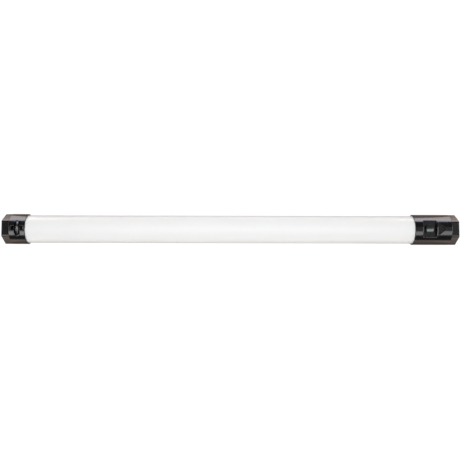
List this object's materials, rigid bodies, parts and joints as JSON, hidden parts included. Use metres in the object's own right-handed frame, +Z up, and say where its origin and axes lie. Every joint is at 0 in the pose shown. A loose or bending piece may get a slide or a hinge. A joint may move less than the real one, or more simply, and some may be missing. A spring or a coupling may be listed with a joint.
{
  "type": "led light tube",
  "caption": "Battery light tube with an opal round diffuser, black hexagonal-ended caps, a sunk power button, a rope staple and a threaded stand socket.",
  "frame": {"origin": "on the surface that the lamp lies on, under the middle of its length and width", "axes": "+X along the tube to the control end, +Z up through the power button, +Y across"},
  "size_m": [0.6912, 0.046, 0.0452],
  "materials": {
    "opal_tube": "opal polycarbonate, satin",
    "spine_aluminium": "extruded, mill finish",
    "thermal_tape": "adhesive tape",
    "light_board": "white solder mask",
    "light_package": "phosphor in a white cup",
    "cell_sleeve": "shrink sleeve over a metal can",
    "nickel_strip": "spot welded strip",
    "foam": "closed-cell foam",
    "cap_plastic": "polished moulding",
    "cover_plastic": "polished moulding",
    "seal_rubber": "moulded silicone",
    "screw_steel": "black oxide",
    "insert_brass": "turned",
    "staple_steel": "black coated bar",
    "button_plastic": "moulded, fine satin",
    "plunger_plastic": "moulded nylon",
    "switch_plastic": "moulded",
    "control_board": "green solder mask",
    "chip_resin": "moulded resin",
    "shield_steel": "tinned shield",
    "socket_plastic": "moulded nylon",
    "contact_brass": "plated pin",
    "cover_rubber": "moulded silicone",
    "red_wire": "silicone insulation",
    "black_wire": "silicone insulation"
  },
  "bodies": {
    "root": {"diffuser_tube": "opal_tube", "spine_extrusion": "spine_aluminium", "led_tape": "thermal_tape", "led_board": "light_board", "led_packages": "light_package", "battery_cells": "cell_sleeve", "battery_tabs": "nickel_strip", "battery_end_plugs": "foam", "tail_cap": "cap_plastic", "tail_end_cover": "cover_plastic", "tail_o_rings": "seal_rubber", "tail_cover_screws": "screw_steel", "tail_spine_screws": "screw_steel", "stand_insert": "insert_brass", "rope_staple": "staple_steel", "control_cap": "cap_plastic", "control_end_cover": "cover_plastic", "control_o_rings": "seal_rubber", "control_cover_screws": "screw_steel", "control_spine_screws": "screw_steel", "button_gasket": "seal_rubber", "tact_switch": "switch_plastic", "control_board": "control_board", "board_screws": "screw_steel", "processor_chip": "chip_resin", "radio_module": "shield_steel", "power_inductors": "chip_resin", "inlet_socket": "socket_plastic", "inlet_contact": "contact_brass", "inlet_cover_anchor": "cover_rubber", "battery_lead_positive": "red_wire", "battery_lead_negative": "black_wire", "led_leads": "red_wire", "inlet_leads": "black_wire"},
    "button": {"power_button": "button_plastic", "switch_plunger": "plunger_plastic"},
    "cover": {"inlet_cover": "cover_rubber"}
  },
  "joints": [
    {"name": "button_press", "type": "slide", "parent": "root", "child": "button", "axis": [0, 0, -1], "range_m": [0, 0.0008], "stiffness_N_per_m": 800, "springref_m": -0.0005},
    {"name": "cover_swing", "type": "hinge", "parent": "root", "child": "cover", "pos_m": [0.3456, 0, 0.0327], "axis": [0, -1, 0], "range_deg": [0, 110]}
  ]
}
